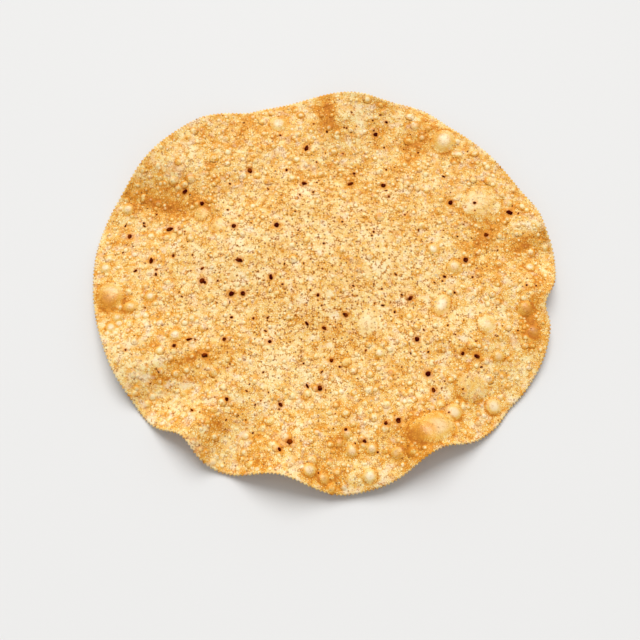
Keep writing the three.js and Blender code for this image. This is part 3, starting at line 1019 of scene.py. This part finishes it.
class PAPADUM_OT_bubbles(bpy.types.Operator):
    """Adds the small bubbles of the upper face"""

    bl_idname = "papadum.bubbles"
    bl_label = "Add bubbles"

    def execute(self, context):
        settings = context.scene.papadum_sheet
        for number, sizes in enumerate(BUBBLE_SIZES):
            table = bubble_table(*sizes, settings.seed + BUBBLE_DRAWS + number)
            self.add_bubbles(f"papadum_bubbles_{number + 1}", table, settings)
        return {"FINISHED"}

    def add_bubbles(self, name, table, settings):
        """One mesh of caps, each one sheared to lie on the slope under it."""
        shift = ground_shift(settings.thickness / MM)
        x, y, radius, tint = (values[:, None] for values in table.T)
        height, tilt_x, tilt_y = self.seats(x, y, settings.seed)
        cap, triangles, floor = cap_surface()
        off_x = radius * cap[:, 0]
        off_y = radius * cap[:, 1]
        rise = BUBBLE_RISE * radius * cap[:, 2] - settings.sink / MM
        points = np.stack((x + off_x, y + off_y, height + tilt_x * off_x + tilt_y * off_y + rise), -1)
        faces = triangles[None] + len(cap) * np.arange(len(table))[:, None, None]
        marks = crisp_marks(
            x, y, rim_share(x, y), settings.seed, crown=np.clip(cap[:, 2], 0.0, 1.0), tint=tint,
            halo=halo_field(x + off_x, y + off_y, grain_table(settings)))
        spread = {key: np.broadcast_to(values, points.shape[:2]).ravel() for key, values in marks.items()}
        piece = add_mesh(
            name, (points.reshape(-1, 3) + shift) * MM, faces.reshape(-1, 3), spread,
            np.tile(floor, len(table)))
        piece.data.materials.append(bpy.data.materials[CRISP])
        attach(piece, BODY)

    @staticmethod
    def seats(x, y, seed):
        """Height of the upper face under each bubble, and its slope by small steps to both sides."""
        tilt_x = seat_height(x + SEAT_STEP, y, seed) - seat_height(x - SEAT_STEP, y, seed)
        tilt_y = seat_height(x, y + SEAT_STEP, seed) - seat_height(x, y - SEAT_STEP, seed)
        return seat_height(x, y, seed), tilt_x / (2.0 * SEAT_STEP), tilt_y / (2.0 * SEAT_STEP)


class PAPADUM_OT_pepper(bpy.types.Operator):
    """Adds the pepper grains and the fine pepper specks, sunk in the upper face"""

    bl_idname = "papadum.pepper"
    bl_label = "Add pepper"

    def execute(self, context):
        settings = context.scene.papadum_sheet
        shift = ground_shift(settings.thickness / MM)
        material = pepper_material(context.scene.papadum_colours)
        kinds = (
            ("pepper_grains", grain_table(settings), 7, 10, 0.62, 0.05),
            ("pepper_specks", speck_table(settings), 4, 6, 0.55, 0.02),
        )
        for number, (name, table, rows, columns, flatness, lift) in enumerate(kinds):
            heights = seat_height(table[:, 0], table[:, 1], settings.seed) - settings.sink / MM + lift
            points, triangles = scattered_lumps(
                table, heights, rows, columns, flatness, settings.seed + LUMP_DRAWS + number)
            piece = add_mesh(name, (points + shift) * MM, triangles)
            piece.data.materials.append(material)
            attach(piece, BODY)
        return {"FINISHED"}


class PAPADUM_OT_stage(bpy.types.Operator):
    """Adds the pale floor, the soft light and the camera"""

    bl_idname = "papadum.stage"
    bl_label = "Add stage"

    def execute(self, context):
        scene = context.scene
        view = scene.papadum_view
        corners = np.array(((-1, -1, 0), (1, -1, 0), (1, 1, 0), (-1, 1, 0)), float) * FLOOR_HALF
        floor = add_mesh("floor", corners - (0, 0, FLOOR_DROP), np.array(((0, 1, 2), (0, 2, 3))))
        floor.data.materials.append(floor_material(scene.papadum_colours))
        self.add_light(view)
        self.add_sky(scene, view.sky)
        scene.camera = self.add_camera(view)
        scene.view_settings.view_transform = "Standard"
        return {"FINISHED"}

    @staticmethod
    def aim(thing, place, target):
        thing.location = place
        thing.rotation_euler = (Vector(target) - Vector(place)).to_track_quat("-Z", "Y").to_euler()
        bpy.context.scene.collection.objects.link(thing)
        return thing

    def add_light(self, view):
        light = bpy.data.lights.new("key_light", "SUN")
        light.energy = view.key_strength
        light.angle = view.key_angle
        self.aim(bpy.data.objects.new("key_light", light), KEY_PLACE, (0.0, 0.0, 0.0))

    def add_camera(self, view):
        camera = bpy.data.cameras.new("camera")
        camera.lens = view.lens
        camera.clip_start = 0.01
        away = Vector((0.0, -math.cos(view.elevation), math.sin(view.elevation)))
        aim = Vector(view.aim)
        return self.aim(bpy.data.objects.new("camera", camera), aim + view.distance * away, aim)

    @staticmethod
    def add_sky(scene, strength):
        scene.world = bpy.data.worlds.new("soft_light")
        scene.world.use_nodes = True
        background = scene.world.node_tree.nodes["Background"]
        background.inputs["Color"].default_value = (1.0, 1.0, 1.0, 1.0)
        background.inputs["Strength"].default_value = strength


class PAPADUM_PT_panel(bpy.types.Panel):
    """Lists the pieces and their settings"""

    bl_idname = "PAPADUM_PT_panel"
    bl_label = "Papadum"
    bl_space_type = "VIEW_3D"
    bl_region_type = "UI"
    bl_category = "Papadum"

    def draw(self, context):
        for operator in OPERATORS:
            self.layout.operator(operator.bl_idname)
        for name, group in SETTINGS.items():
            box = self.layout.box()
            for key in group.__annotations__:
                box.prop(getattr(context.scene, name), key)


SETTINGS = {
    "papadum_sheet": PapadumSheet,
    "papadum_colours": PapadumColours,
    "papadum_view": PapadumView,
}
OPERATORS = (PAPADUM_OT_sheet, PAPADUM_OT_bubbles, PAPADUM_OT_pepper, PAPADUM_OT_stage)
CLASSES = (*SETTINGS.values(), *OPERATORS, PAPADUM_PT_panel)


def register():
    for made in CLASSES:
        bpy.utils.register_class(made)
    for name, group in SETTINGS.items():
        setattr(bpy.types.Scene, name, PointerProperty(type=group))


def unregister():
    for name in SETTINGS:
        delattr(bpy.types.Scene, name)
    for made in reversed(CLASSES):
        bpy.utils.unregister_class(made)


def main():
    register()
    bpy.ops.papadum.sheet()
    bpy.ops.papadum.bubbles()
    bpy.ops.papadum.pepper()
    bpy.ops.papadum.stage()


if __name__ == "__main__":
    main()
